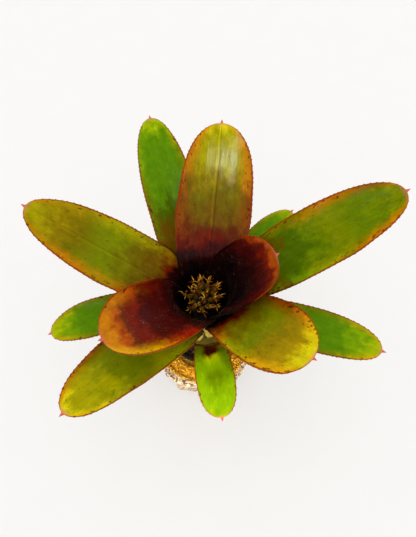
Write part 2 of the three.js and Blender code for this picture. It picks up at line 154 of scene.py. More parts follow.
def unit(v):
    return v / np.linalg.norm(v, axis=-1, keepdims=True)


def points_at(x, y, z):
    return np.stack(np.broadcast_arrays(x, y, z), axis=-1)


def polar(radius, turn, height):
    """Points at distances and headings from an upright axis, and at heights."""
    return points_at(radius * np.cos(turn), radius * np.sin(turn), height)


def lattice_noise(points, seed):
    """Smooth noise from -1 to 1 at points (..., 3), with features about one unit across.

    Each corner of the lattice has a value hashed from its three coordinates and the seed."""
    base = np.floor(points).astype(np.int64)
    part = points - base
    part = part * part * (3 - 2 * part)
    total = np.zeros(points.shape[:-1])
    for corner in np.ndindex(2, 2, 2):
        cell = base + np.array(corner)
        key = cell[..., 0] * 73856093 ^ cell[..., 1] * 19349663 ^ cell[..., 2] * 83492791
        key = (key + seed * 2654435761) & 0xFFFFFFFF
        key = (key ^ (key >> 15)) * 2246822519 & 0xFFFFFFFF
        key = (key ^ (key >> 13)) * 3266489917 & 0xFFFFFFFF
        value = ((key ^ (key >> 16)) & 0xFFFFFFFF) / 0x7FFFFFFF - 1
        weight = np.prod(np.where(corner, part, 1 - part), axis=-1)
        total += weight * value
    return total


def fractal_noise(points, octaves, seed):
    """Layers of lattice noise, each twice as fine and half as strong as the one before."""
    total = 0
    for i in range(octaves):
        total = total + 0.5**i * lattice_noise(points * 2**i, seed + i)
    return total


class Shape:
    """The points, faces and named point values of one mesh, gathered patch by patch."""

    def __init__(self, *channels):
        self.points = []
        self.faces = []
        self.values = {name: [] for name in channels}
        self.count = 0

    def grid(self, points, caps=True, **values):
        """Adds a tube of points (rows, columns, 3), with its ends closed if it has caps."""
        rows, columns = points.shape[:2]
        self.points.append(points.reshape(-1, 3))
        for name, store in self.values.items():
            store.append(np.broadcast_to(values[name], (rows, columns)).reshape(-1))
        index = self.count + np.arange(rows * columns).reshape(rows, columns)
        self.count += rows * columns
        index = np.concatenate([index, index[:, :1]], axis=1)
        quads = np.stack([index[:-1, :-1], index[:-1, 1:], index[1:, 1:], index[1:, :-1]], axis=-1)
        self.faces.extend(quads.reshape(-1, 4).tolist())
        if caps:
            self.faces.append(index[0, :-1][::-1].tolist())
            self.faces.append(index[-1, :-1].tolist())

    def build(self, name, material, origin=(0, 0, 0)):
        """Makes the mesh object, with its material and the values of its points."""
        mesh = bpy.data.meshes.new(name)
        points = (np.concatenate(self.points) + np.array(origin)) * MM
        mesh.from_pydata(points.tolist(), [], self.faces)
        mesh.polygons.foreach_set("use_smooth", [True] * len(mesh.polygons))
        for channel, store in self.values.items():
            attribute = mesh.attributes.new(channel, "FLOAT", "POINT")
            attribute.data.foreach_set("value", np.concatenate(store).astype(np.float32))
        mesh.materials.append(material)
        mesh.update()
        made = bpy.data.objects.new(name, mesh)
        bpy.context.scene.collection.objects.link(made)
        return made

    def piece(self, name, material, slot, replaces=None, origin=(0, 0, 0)):
        """Makes a piece of the part on the part's one body; its slot is not used."""
        made = self.build(name, material, origin)
        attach(made, "root")
        if replaces:
            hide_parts(replaces)


class Shader:
    """A node material: each call makes one node and gives back its output socket."""

    def __init__(self, name):
        self.material = bpy.data.materials.new(name)
        self.material.use_nodes = True
        self.tree = self.material.node_tree
        self.surface = self.tree.nodes["Principled BSDF"]

    def plug(self, socket, value):
        if isinstance(value, bpy.types.NodeSocket):
            self.tree.links.new(value, socket)
        else:
            socket.default_value = value

    def node(self, kind, inputs, **settings):
        made = self.tree.nodes.new("ShaderNode" + kind)
        for key, value in settings.items():
            setattr(made, key, value)
        for key, value in inputs.items():
            self.plug(made.inputs[key], value)
        return made

    def math(self, operation, a, b=0.0):
        return self.node("Math", {0: a, 1: b}, operation=operation).outputs[0]

    def add(self, a, b):
        return self.math("ADD", a, b)

    def times(self, a, b):
        return self.math("MULTIPLY", a, b)

    def absolute(self, a):
        return self.math("ABSOLUTE", a)

    def swing(self, noise, amount):
        """A noise of 0 to 1 as a swing about zero, by half the amount to each side."""
        return self.times(self.add(noise, -0.5), amount)

    def attribute(self, name):
        return self.node("Attribute", {}, attribute_name=name).outputs["Fac"]

    def vector(self, x, y, z):
        return self.node("CombineXYZ", {0: x, 1: y, 2: z}).outputs[0]

    def place(self, scale):
        """Object coordinates in millimetres, times a scale (x, y, z)."""
        here = self.node("TexCoord", {}).outputs["Object"]
        factors = tuple(s / MM for s in scale)
        return self.node("VectorMath", {0: here, 1: factors}, operation="MULTIPLY").outputs[0]

    def noise(self, vector, detail=2.0, roughness=0.5, distortion=0.0):
        """Noise at a vector, or at object coordinates times a scale (x, y, z)."""
        vector = self.place(vector) if isinstance(vector, tuple) else vector
        inputs = {
            "Vector": vector,
            "Scale": 1.0,
            "Detail": detail,
            "Roughness": roughness,
            "Distortion": distortion,
        }
        return self.node("TexNoise", inputs).outputs[0]

    def cells(self, vector):
        return self.node("TexVoronoi", {"Vector": vector, "Scale": 1.0})

    def span(self, value, low, high, start=0.0, end=1.0):
        """Start where value is low, end where it is high, smooth between and flat outside."""
        inputs = {"Value": value, 1: low, 2: high, 3: start, 4: end}
        return self.node("MapRange", inputs, interpolation_type="SMOOTHSTEP").outputs[0]

    def ramp(self, value, stops):
        """Colours at places from 0 to 1: pairs, or a text such as "0 ink .5 wine 1 red"."""
        if isinstance(stops, str):
            words = stops.split()
            stops = [(float(place), name) for place, name in zip(words[::2], words[1::2])]
        made = self.node("ValToRGB", {0: value})
        elements = made.color_ramp.elements
        while len(elements) < len(stops):
            elements.new(0.5)
        for element, (position, colour) in zip(elements, stops):
            element.position = position
            element.color = linear(colour)
        return made.outputs[0]

    def blend(self, factor, a, b, kind="MIX"):
        """Colour a where factor is 0 and b, or b worked into a, where it is 1."""
        a = linear(a) if isinstance(a, (str, tuple)) else a
        b = linear(b) if isinstance(b, (str, tuple)) else b
        inputs = {0: factor, 6: a, 7: b}
        return self.node("Mix", inputs, data_type="RGBA", blend_type=kind).outputs[2]

    def bump(self, height, distance_mm, strength=1.0):
        inputs = {"Height": height, "Distance": distance_mm * MM, "Strength": strength}
        self.plug(self.surface.inputs["Normal"], self.node("Bump", inputs).outputs[0])

    def finish(self, colour, roughness, sheen):
        self.plug(self.surface.inputs["Base Color"], colour)
        self.plug(self.surface.inputs["Roughness"], roughness)
        self.surface.inputs["Specular IOR Level"].default_value = sheen
        return self.material


# ---------- Leaves ----------
# The solids' leaves, with the same meaning for each dimension, and how each one is coloured. body,
# minus and plus are colours along the blade, each with its share of the way from the tank's mouth to
# the tip: down the middle, and along the margins that lie clockwise and anticlockwise of the midrib.
# clasp is the same for the sheath's inner face, from the mouth down: near-black, the leaves' maroon with
# painted shade of the tank's depth, except on leaf_front_low, whose shaded sheath is painted bright as
# painted light. rim is how far from the midrib the margins' colours start. specks is how many brown spots
# there are, scratches how strongly the pale scratches show, and midrib how strongly the painted highlight
# and painted shade beside the midrib's channel show. gloom is where the near-black margin, with painted
# shade of the tank in it, ends, and pale_from where the underside turns pale on the way down the sheath.
# flutes and channel are the depths of the blade's flutes and of its middle channel. sheen is how strongly
# the leaf reflects, and gloss how blurred the reflection is.
BLADE = dict(
    slot="leaf_olive", roll=0, sweep=0, neck=0.82, widest=0.5, cup=90, flutes=0.12, channel=0.2,
    rim=0.72, specks=0.2, scratches=0.0, midrib=0.15, gloom=0.0, pale_from=0.05, sheen=0.03,
    gloss=0.24, clasp="0 ink 1 ink",
)
GREEN_MARGIN = "0 olive .3 moss .7 moss .85 citron 1 amber"
GREEN_BLADE = dict(
    slot="leaf_green",
    body="0 olive .15 moss .4 green .6 grass .78 grass .9 fresh 1 lime",
    minus=GREEN_MARGIN,
    plus=GREEN_MARGIN,
)
LEAVES = [
    dict(
        name="leaf_inner_right", ring=0, turn=4, sheath=60, length=68, width=56, rise=57, droop=7,
        roll=9, sweep=8, neck=1.12, widest=0.6, cup=42, slot="leaf_maroon", rim=0.7, specks=0.5,
        scratches=0.35, gloom=0.55, pale_from=-0.3,
        body=".35 ink .55 wine .76 maroon .86 red .93 ember 1 rust",
        minus="0 ink .3 wine .52 maroon .72 red .84 russet .93 rust",
        # The pale pink at the tip of the plus margin is a painted sheen.
        plus="0 ink .4 wine .6 maroon .76 red .86 ember .95 ember 1 blush",
    ),
    dict(
        name="leaf_inner_left", ring=1, turn=225, sheath=58.5, length=97, width=60, rise=46, droop=15,
        roll=-8, sweep=-9, neck=1, cup=45, slot="leaf_maroon", rim=0.64, specks=0.6, scratches=0.6,
        gloom=0.2, pale_from=-0.3, sheen=0.06,
        body=".08 ink .2 wine .38 maroon .54 maroon .63 red .7 red .77 russet .85 ember .94 orange",
        minus="0 ink .1 wine .22 maroon .42 red .54 russet .64 ember .8 orange",
        plus="0 ink .14 wine .24 maroon .34 crimson .44 crimson .55 ember .68 amber",
    ),
    dict(
        name="leaf_back", ring=2, turn=81, sheath=56.5, length=133, width=64, rise=45, droop=20,
        sweep=5, widest=0.4, cup=75, flutes=0.08, channel=0.3, rim=0.66, specks=0.5, scratches=0.3,
        midrib=0.9, gloom=0.1, pale_from=-0.2, sheen=0.07, gloss=0.12,
        body=".12 ink .18 wine .22 maroon .27 red .34 russet .42 bronze .54 olive .64 khaki .74 citron"
        " .88 citron 1 yellow",
        minus="0 ink .18 wine .28 maroon .38 rust .54 rust .66 orange .8 orange 1 amber",
        plus="0 ink .12 wine .22 red .36 rust .55 rust .68 orange .85 orange 1 amber",
    ),
    dict(
        name="leaf_front_right", ring=3, turn=316, sheath=55, length=107, width=57, rise=41, droop=10,
        roll=8, neck=0.77, widest=0.56, cup=70, rim=0.7, specks=1.0, gloom=0.1,
        body=".13 ink .22 red .28 bronze .38 olive .52 moss .66 khaki .84 tan .94 yellow",
        minus="0 wine .1 maroon .18 rust .26 orange .38 citron .58 citron .7 amber .92 amber 1 yellow",
        plus="0 ink .25 wine .38 bronze .52 rust .66 rust .78 orange .88 amber 1 yellow",
    ),
    dict(
        name="leaf_left_long", ring=4, turn=165, sheath=53.5, length=147, width=59, rise=39, droop=10,
        sweep=-5, neck=0.72, widest=0.2, rim=0.66, specks=0.6, scratches=0.25, midrib=0.4, gloom=0.2,
        body="0 ink .1 wine .16 red .23 bronze .36 olive .5 moss .58 moss .7 olive .82 khaki 1 citron",
        minus="0 ink .1 wine .18 rust .26 khaki .4 citron .55 citron .7 tan .85 tan 1 orange",
        plus="0 ink .12 maroon .24 red .32 ember .4 orange .52 tan .7 orange .85 tan 1 orange",
    ),
    dict(
        name="leaf_right_long", ring=4, turn=18, sheath=52.5, length=169, width=55, rise=37, droop=13,
        roll=5, sweep=2, neck=0.72, widest=0.45, specks=0.5, scratches=0.4, gloom=0.2, sheen=0.01,
        body="0 ink .2 maroon .3 bronze .37 leaf .45 leaf .55 green .65 moss .75 green .88 green 1 moss",
        minus="0 ink .2 maroon .3 bronze .37 fresh .45 fresh .55 citron .68 khaki .8 orange",
        plus="0 ink .2 maroon .35 moss .5 khaki .68 orange .85 rust 1 orange",
    ),
    dict(
        name="leaf_front_left", ring=5, turn=229, sheath=51, length=136, width=51, rise=35, droop=15,
        roll=6, sweep=1.5, widest=0.3, rim=0.74, specks=0.4,
        body="0 wine .12 bronze .25 citron .4 citron .52 moss .68 moss .82 citron .92 citron 1 yellow",
        minus="0 wine .2 rust .5 bronze .7 rust .82 orange",
        plus="0 moss .1 citron .22 lime .4 lime .5 citron .6 khaki .75 citron .86 yellow 1 amber",
    ),
    dict(
        name="leaf_back_left", ring=5, turn=109, sheath=51, length=157, width=47, rise=32, droop=19,
        sweep=-4, widest=0.35, slot="leaf_green",
        body="0 wine .15 red .25 bronze .36 bronze .44 leaf .54 grass .85 grass .93 fresh 1 lime",
        minus="0 wine .25 rust .4 olive .52 khaki .64 moss .85 citron 1 lime",
        plus="0 wine .25 rust .36 green .55 moss .7 fresh .9 fresh 1 lime",
    ),
    dict(
        name="leaf_right_low", ring=6, turn=338, sheath=48, length=133, width=38, rise=27, droop=21,
        sweep=-1, **GREEN_BLADE,
    ),
    dict(
        name="leaf_left_low", ring=6, turn=190, sheath=46, length=115, width=35, rise=20, droop=37,
        sweep=9, **GREEN_BLADE,
    ),
    dict(
        name="leaf_back_right_low", ring=7, turn=47, sheath=43.5, length=103, width=32, rise=18, droop=20,
        **GREEN_BLADE,
    ),
    dict(
        name="leaf_front_low", ring=7, turn=279, sheath=24, length=80, width=33, rise=24, droop=26,
        neck=0.76, widest=0.55, slot="leaf_green", rim=0.42, specks=0.0,
        # The clasp is painted bright: painted light on the sheath's shaded inner face.
        clasp="0 maroon .07 russet .14 khaki .24 husk .42 straw",
        body=".08 khaki .15 russet .19 maroon .27 maroon .31 khaki .36 lime .44 fresh .58 green .76 fresh"
        " .92 fresh 1 citron",
        minus="0 khaki .12 russet .18 khaki .24 green .5 fresh .85 fresh 1 citron",
        plus="0 khaki .12 russet .18 khaki .24 green .42 green .6 fresh .85 fresh 1 citron",
    ),
]
LEAVES = [{**BLADE, **leaf} for leaf in LEAVES]

MIDRIB_STEP = 0.25  # the midrib is followed in steps of this length
SHEATH_ROW = 2.0
BLADE_ROW = 1.1
COLUMNS = 27
SPINE_ROWS = 6
UNEVENNESS = 0.7  # how far the blade swells in and out
MARGIN_WAVER = 1.1
FLUTE_WIDTH = 9
CHANNEL_WIDTH = 2.6
TOOTH_SPACING = 3.6
TOOTH_LENGTH = 0.5
EDGE_BULGE = 0.2
LAST_TOOTH = 0.985  # share of the blade past which its margin is smooth


def blade_share(leaf, distance):
    return np.clip((distance - leaf["sheath"]) / leaf["length"], 0, 1)


def midrib_slope(leaf, distance):
    straight_run = leaf["ring"] * SHEATH_STEP / math.cos(math.radians(FOOT_ANGLE))
    swelling = smooth((distance - straight_run) / SWELL_LENGTH)
    sheath_slope = mix(FOOT_ANGLE, UPRIGHT_ANGLE, swelling)
    blade_slope = leaf["rise"] - leaf["droop"] * blade_share(leaf, distance)
    bent = smooth((distance - leaf["sheath"] + BEND_START) / BEND_LENGTH)
    return np.radians(mix(sheath_slope, blade_slope, bent))


def heading(leaf, distance):
    return np.radians(leaf["turn"] + leaf["sweep"] * blade_share(leaf, distance) ** 1.5)


def half_width(leaf, distance):
    sheath = mix(FOOT_WIDTH_SHARE, leaf["neck"], smooth(distance / leaf["sheath"]))
    share = blade_share(leaf, distance)
    widening = mix(leaf["neck"], 1, smooth(share / leaf["widest"]))
    past = np.clip((share - leaf["widest"]) / (1 - leaf["widest"]), 0, 1)
    narrowing = np.sqrt(1 - past**TIP_ROUNDNESS)
    blade = np.where(share < leaf["widest"], widening, narrowing)
    half = leaf["width"] / 2 * np.where(distance < leaf["sheath"], sheath, blade)
    spine = np.clip((leaf["sheath"] + leaf["length"] + TIP_SPINE - distance) / TIP_SPINE, 0.06, 1)
    return np.maximum(half, TIP_HALF_WIDTH) * spine


def leaf_rows(leaf):
    """Distances along the leaf of its cross-sections, closer together near the tip."""
    sheath = np.arange(0, leaf["sheath"], SHEATH_ROW)
    steps = round(leaf["length"] / BLADE_ROW)
    share = 1 - (1 - np.linspace(0, 1, steps + 1)) ** 1.25
    blade = leaf["sheath"] + leaf["length"] * share
    spine = leaf["sheath"] + leaf["length"] + np.linspace(0, TIP_SPINE, SPINE_ROWS)[1:]
    return np.concatenate([sheath, blade, spine])


def follow_midrib(leaf, rows):
    """The midrib's distance from the stem's axis and its place at each row."""
    edges = np.arange(0, rows[-1] + 2 * MIDRIB_STEP, MIDRIB_STEP)
    middles = edges[:-1] + MIDRIB_STEP / 2
    slope = midrib_slope(leaf, middles)
    way = heading(leaf, middles)
    outward = np.cos(slope) * MIDRIB_STEP
    upward = np.sin(slope) * MIDRIB_STEP
    turn = math.radians(leaf["turn"])
    foot_angle = math.radians(FOOT_ANGLE)
    start = STEM_RADIUS + CLEARANCE + SHEATH_WALL / 2 / math.sin(foot_angle)
    foot = INNER_FOOT_HEIGHT - leaf["ring"] * SHEATH_STEP / math.cos(foot_angle)

    def summed(first, steps):
        return np.interp(rows, edges, np.concatenate([[first], first + np.cumsum(steps)]))

    radius = summed(start, outward)
    x = summed(start * math.cos(turn), outward * np.cos(way))
    y = summed(start * math.sin(turn), outward * np.sin(way))
    z = summed(foot, upward)
    return radius, points_at(x, y, z)


def leaf_sheet(leaf, rows, t, seed):
    """The sheet midway between the leaf's faces, at its rows and at shares t of its half width.

    Gives its points, its upward normals, its forward directions and how far each row has opened."""
    share = blade_share(leaf, rows)
    radius, centre = follow_midrib(leaf, rows)
    slope = midrib_slope(leaf, rows)
    way = heading(leaf, rows)
    level = np.cos(slope)
    climb = np.sin(slope)
    forward = polar(level, way, climb)
    flat_side = points_at(-np.sin(way), np.cos(way), 0)
    flat_up = polar(-climb, way, level)
    roll = np.radians(leaf["roll"]) * smooth(2 * (rows - leaf["sheath"]) / leaf["length"])
    roll = roll[:, None]
    side = flat_side * np.cos(roll) + flat_up * np.sin(roll)
    up = flat_up * np.cos(roll) - flat_side * np.sin(roll)
    opened = smooth((rows - leaf["sheath"] + OPEN_START) / OPEN_LENGTH)[:, None, None]

    # The sheath is wrapped round the stem, and the blade is cupped about its midrib.
    across = half_width(leaf, rows)[:, None] * t
    turn = math.radians(leaf["turn"]) + across / radius[:, None]
    wrapped = polar(radius[:, None], turn, centre[:, 2:])
    wrapped_face = polar(-climb[:, None], turn, level[:, None])
    curl = (across / leaf["cup"])[..., None]
    blade = centre[:, None] + side[:, None] * leaf["cup"] * np.sin(curl)
    blade = blade + up[:, None] * leaf["cup"] * (1 - np.cos(curl))
    blade_face = up[:, None] * np.cos(curl) - side[:, None] * np.sin(curl)
    middle = mix(wrapped, blade, opened)
    face = unit(mix(wrapped_face, blade_face, opened))

    # The blade is gently fluted and uneven, with a channel down the middle, and its margins waver.
    free = smooth((share - 0.15) / 0.3)[:, None] * smooth((1 - share) / 0.1)[:, None]
    where = points_at(across / 16, rows[:, None] / 30, seed)
    uneven = UNEVENNESS * lattice_noise(where, seed)
    where[..., 0] = 3 * np.sign(t)
    waver = MARGIN_WAVER * t**4 * lattice_noise(where * (1, 1.6, 1), seed + 50)
    flutes = leaf["flutes"] * np.cos(across * TAU / FLUTE_WIDTH + seed)
    channel = -leaf["channel"] * np.exp(-((across / CHANNEL_WIDTH) ** 2))
    middle = middle + face * (free * (uneven + waver + flutes + channel))[..., None]
    return middle, face, forward, opened[..., 0]


def toothed_margins(leaf, rows, middle, forward, seed):
    """Both margins. Every few millimetres a row is drawn out into a tooth that points to the tip."""
    random = np.random.default_rng(seed)
    share = blade_share(leaf, rows)
    tooth = np.zeros(len(rows))
    next_tooth = leaf["sheath"] + 2
    for i, distance in enumerate(rows):
        if distance > next_tooth and share[i] < LAST_TOOTH:
            tooth[i] = random.uniform(0.6, 1.0)
            next_tooth = distance + TOOTH_SPACING * random.uniform(0.7, 1.3)
    margins = []
    for column, inner in ((0, 1), (-1, -2)):
        outward = unit(middle[:, column] - middle[:, inner])
        reach = EDGE_BULGE + TOOTH_LENGTH * tooth
        ahead = 0.5 * TOOTH_LENGTH * tooth
        margins.append((middle[:, column] + outward * reach[:, None] + forward * ahead[:, None])[:, None])
    return margins


def leaf_shape(leaf, seed):
    """Both faces of the leaf, with a toothed margin between them and a spine at the tip."""
    rows = leaf_rows(leaf)
    t = np.sin(math.pi / 2 * np.linspace(-1, 1, COLUMNS))
    middle, face, forward, opened = leaf_sheet(leaf, rows, t[None, :], seed)
    wall = mix(SHEATH_WALL, mix(BLADE_WALL, MARGIN_WALL, t**2), opened)[..., None]
    upper = middle + face * wall / 2
    lower = middle - face * wall / 2
    first, last = toothed_margins(leaf, rows, middle, forward, seed)
    ring = np.concatenate([lower, last, upper[:, ::-1], first], axis=1)
    t_ring = np.concatenate([t, [1.0], t[::-1], [-1.0]])
    upper_ring = np.concatenate([np.zeros(COLUMNS), [0.5], np.ones(COLUMNS), [0.5]])
    along = np.where(rows < leaf["sheath"], rows / leaf["sheath"] - 1, blade_share(leaf, rows))
    along = along + 0.1 * np.clip((rows - leaf["sheath"] - leaf["length"]) / TIP_SPINE, 0, 1)
    shape = Shape("along", "across", "side_mm", "run_mm", "upper")
    shape.grid(
        ring,
        along=along[:, None],
        across=t_ring[None, :],
        side_mm=half_width(leaf, rows)[:, None] * t_ring,
        run_mm=rows[:, None],
        upper=upper_ring[None, :],
    )
    return shape


def leaf_material(leaf, seed):
    g = Shader(leaf["name"] + "_skin")
    along = g.attribute("along")
    across = g.attribute("across")
    side = g.attribute("side_mm")
    run = g.attribute("run_mm")
    upper = g.attribute("upper")
    out = g.absolute(across)

    def pattern(across_scale, along_scale, number, **settings):
        x = g.times(side, across_scale)
        y = g.times(run, along_scale)
        return g.noise(g.vector(x, y, 3.7 * seed + 11.3 * number), **settings)

    def spots(across_scale, along_scale, number, smallest, range_of_size, wanted):
        """Scattered irregular spots; wanted is the share of places that have one."""
        wander = g.times(mottle, 4.0)
        x = g.add(g.times(side, across_scale), wander)
        y = g.add(g.times(run, along_scale), wander)
        found = g.cells(g.vector(x, y, 5.0 * seed + number))
        chance = g.node("SeparateColor", {0: found.outputs["Color"]})
        size = g.add(g.times(chance.outputs[1], range_of_size), smallest)
        inside = g.span(g.math("SUBTRACT", found.outputs["Distance"], size), 0.08, -0.08)
        return g.times(inside, g.math("LESS_THAN", chance.outputs[0], wanted))

    clouds = pattern(0.06, 0.035, 1, detail=3.0, roughness=0.55)
    mottle = pattern(0.17, 0.12, 2, detail=5.0, roughness=0.62)
    streaks = pattern(0.45, 0.02, 3, detail=3.0, roughness=0.6)
    veins = pattern(1.3, 0.015, 4, detail=1.0)
    grain = pattern(0.8, 0.5, 5, detail=3.0, roughness=0.7)
    uneven = g.add(g.swing(clouds, 0.4), g.swing(mottle, 0.26))
    uneven = g.add(uneven, g.swing(streaks, 0.1))

    # Upper face: the body's colour, and the margins' colours worked in from both sides.
    share = g.add(along, g.times(uneven, 0.75))
    body = g.ramp(share, leaf["body"])
    plus_side = g.span(across, -0.2, 0.2)
    margins = g.blend(plus_side, g.ramp(share, leaf["minus"]), g.ramp(share, leaf["plus"]))
    edge = g.span(g.add(out, g.times(uneven, 0.7)), leaf["rim"] - 0.16, leaf["rim"] + 0.3)
    top = g.blend(edge, body, margins)
    # The sheath's inner face: painted shade of the tank on most leaves, painted light on leaf_front_low's
    # shaded sheath.
    clasp = g.ramp(g.add(g.times(along, -3.0), g.swing(mottle, 1.5)), leaf["clasp"])
    top = g.blend(g.span(along, 0.03, -0.03), top, clasp)
    shade = g.add(g.swing(veins, 0.2), g.swing(mottle, 0.7))
    shade = g.add(shade, g.swing(grain, 0.4))
    lighter = g.blend(1.0, top, (255, 244, 120), "OVERLAY")
    darker = g.blend(1.0, top, (150, 128, 60), "MULTIPLY")
    top = g.blend(g.span(shade, -0.05, 0.3, 0.0, 0.5), top, lighter)
    top = g.blend(g.span(shade, 0.0, -0.3, 0.0, 0.45), top, darker)

    # The midrib's channel: a thin painted highlight beside a thin painted shade.
    beside = g.add(across, g.swing(clouds, 0.08))
    midrib_painted_highlight = g.span(g.absolute(g.add(beside, -0.05)), 0.045, 0.0, 0.0, 0.5 * leaf["midrib"])
    midrib_painted_shade = g.span(g.absolute(g.add(beside, 0.02)), 0.035, 0.0, 0.0, 0.6 * leaf["midrib"])
    top = g.blend(midrib_painted_highlight, top, lighter)
    top = g.blend(midrib_painted_shade, top, darker)

    # Brown specks: small ones over the blade, larger ones crowded along the margins.
    over = g.span(out, 0.2, 0.9, 0.12 * leaf["specks"], 0.5 * leaf["specks"])
    small = spots(0.55, 0.36, 1, 0.1, 0.2, over)
    most = 0.4 + 0.5 * leaf["specks"]
    near_margin = g.span(g.add(out, g.times(uneven, 0.3)), 0.82, 0.95, 0.0, most)
    large = spots(0.42, 0.3, 2, 0.22, 0.25, near_margin)
    top = g.blend(g.times(small, 0.6), top, "speck")
    top = g.blend(g.times(large, 0.8), top, "speck")

    # Fine pale scratches.
    line = pattern(0.25, 0.32, 6, detail=1.0, distortion=1.6)
    line = g.span(g.absolute(g.add(line, -0.5)), 0.01, 0.0)
    patch = g.span(pattern(0.1, 0.1, 7), 0.48, 0.62)
    top = g.blend(g.times(g.times(line, patch), leaf["scratches"]), top, (128, 104, 88), "ADD")

    # The thin dark margin and its teeth, near-black with painted shade of the tank below gloom, and the
    # pink spine.
    rough_out = g.add(out, g.swing(mottle, 0.08))
    margin_colour = g.blend(g.span(share, leaf["gloom"], leaf["gloom"] + 0.2), "ink", "margin")
    top = g.blend(g.span(rough_out, 0.94, 0.985, 0.0, 0.85), top, margin_colour)
    spine = g.span(along, 0.97, 1.02)
    top = g.blend(spine, top, "rose")

    # Underneath the leaf is duller, with a grey bloom in cross-bands; the clasping sheath is pale.
    bands = pattern(0.05, 0.16, 8, detail=4.0, roughness=0.6)
    dull = g.blend(0.35, body, "green")
    below = g.blend(g.span(bands, 0.4, 0.7, 0.12, 0.5), dull, "scurf")
    stripes = pattern(0.8, 0.04, 9, detail=4.0, roughness=0.6)
    pale = g.blend(g.span(stripes, 0.42, 0.64, 0.15, 0.6), "husk", "bronze")
    pale = g.blend(g.span(clouds, 0.45, 0.65, 0.0, 0.5), pale, "rust")
    paling = g.add(g.add(along, g.swing(streaks, 0.5)), g.swing(clouds, 0.3))
    below = g.blend(g.span(paling, leaf["pale_from"] + 0.05, leaf["pale_from"] - 0.3), below, pale)
    below = g.blend(g.span(rough_out, 0.93, 0.985, 0.0, 0.8), below, margin_colour)
    below = g.blend(spine, below, "rose")
    colour = g.blend(upper, below, top)

    gloss = g.add(g.times(upper, leaf["gloss"] - 0.44), g.span(mottle, 0.35, 0.65, 0.4, 0.48))
    g.bump(g.add(g.times(g.add(veins, streaks), 0.7), g.times(grain, 0.5)), 0.25, 0.6)
    return g.finish(colour, gloss, sheen=leaf["sheen"])


for seed, leaf in enumerate(LEAVES, 1):
    material = leaf_material(leaf, seed)
    leaf_shape(leaf, seed).piece(leaf["name"] + "_blade", material, leaf["slot"], leaf["name"], ROSETTE)

# ---------- Flower head ----------
HEAD_BASE = 34.3
SCAPE_RADIUS = 5
CORE_RADIUS = 12
CORE_NECK_RADIUS = 10
CORE_DEPTH = 9
CORE_CENTRE = 59
CORE_DOME = 8
CAPSULE_COUNT = 21
CAPSULE_RADIUS = 2.7
CAPSULE_HALF_LENGTH = 6
CAPSULE_LIFT = 1.5
CAPSULE_TILT = 68
LEAN_OUT = 0.54
LEAN_UP = 0.46
SEPAL_LENGTH = 9.4
SEPAL_WIDTH = 0.55
THREAD_WIDTH = 0.3
THREAD_TURN = 0.9
BRACT_LENGTH = 10.5
BRACT_WIDTH = 4.5
GOLDEN_ANGLE = 137.5
CAPSULE, CORE, BRACT, SEPAL = 0.0, 0.5, 0.6, 1.0  # kinds of surface, told apart by the material


def frame_round(axis):
    """Two unit vectors square to the axis and to each other."""
    other = np.array([0.0, 0.0, 1.0]) if abs(axis[2]) < 0.9 else np.array([1.0, 0.0, 0.0])
    first = unit(np.cross(axis, other))
    return first, np.cross(axis, first)


def capsule(shape, seat, axis, random):
    """A ribbed capsule that narrows to a neck."""
    rise = np.linspace(0.02, 1, 15)[:, None]
    turn = np.linspace(0, TAU, 20, endpoint=False)[None, :]
    first, second = frame_round(axis)
    swell = np.sin(math.pi * rise**0.85) ** 0.7 * mix(1.0, 0.75, rise) + 0.08
    ribs = 1 + 0.12 * np.cos(6 * turn + random.uniform(0, TAU))
    girth = (CAPSULE_RADIUS * random.uniform(0.85, 1.05) * swell * ribs)[..., None]
    length = CAPSULE_HALF_LENGTH * random.uniform(0.85, 1.0)
    height = mix(-CAPSULE_HALF_LENGTH, length, rise)[..., None]
    around = first * np.cos(turn)[..., None] + second * np.sin(turn)[..., None]
    points = seat + axis * height + girth * around
    shape.grid(points, kind=CAPSULE, rise=rise, rib=np.cos(6 * turn))


def claw(shape, root, axis, outward, length, width, bend, curl, kind):
    """A dried sepal, thread or bract: keeled, pointed, bent away from its axis and curled."""
    steps = 9
    rise = np.linspace(0, 1, steps + 1)
    beside = unit(np.cross(axis, outward))
    lean = bend * rise**0.8
    twist = curl * rise**1.4
    away = outward * np.cos(twist)[:, None] + beside * np.sin(twist)[:, None]
    ahead = axis * np.cos(lean)[:, None] + away * np.sin(lean)[:, None]
    face = unit(away * np.cos(lean)[:, None] - axis * np.sin(lean)[:, None])
    path = root + np.concatenate([[np.zeros(3)], np.cumsum(ahead[:-1] * length / steps, axis=0)])
    flank = unit(np.cross(ahead, face))
    half = (width / 2 * np.sin(math.pi * mix(0.3, 1.0, rise)) ** 0.8 + 0.05)[:, None, None]
    turn = np.linspace(0, TAU, 8, endpoint=False)[None, :, None]
    points = path[:, None] + flank[:, None] * half * np.cos(turn)
    points = points + face[:, None] * half * (0.45 * np.sin(turn) - 0.6 * np.cos(turn) ** 2)
    shape.grid(points, kind=kind, rise=rise[:, None], rib=np.cos(turn[..., 0]))


def scape_and_core(shape):
    """The turned stalk and dome that the capsules sit on."""
    angle = np.radians(np.arange(0, 91, 15))
    dome = CORE_CENTRE + CORE_DOME * np.sin(angle)
    heights = [HEAD_BASE, HEAD_BASE + 4, CORE_CENTRE - CORE_DEPTH, *dome]
    radii = [SCAPE_RADIUS, SCAPE_RADIUS, CORE_NECK_RADIUS, *(CORE_RADIUS * np.cos(angle) + 0.05)]
    rise = np.linspace(0, 1, 24)[:, None]
    turn = np.linspace(0, TAU, 40, endpoint=False)[None, :]
    span = np.linspace(0, 1, len(heights))
    height = np.interp(rise, span, heights)
    girth = np.interp(rise, span, radii) * (1 + 0.03 * np.cos(9 * turn))
    shape.grid(polar(girth, turn, height), kind=CORE, rise=0.2 * rise, rib=0.0)


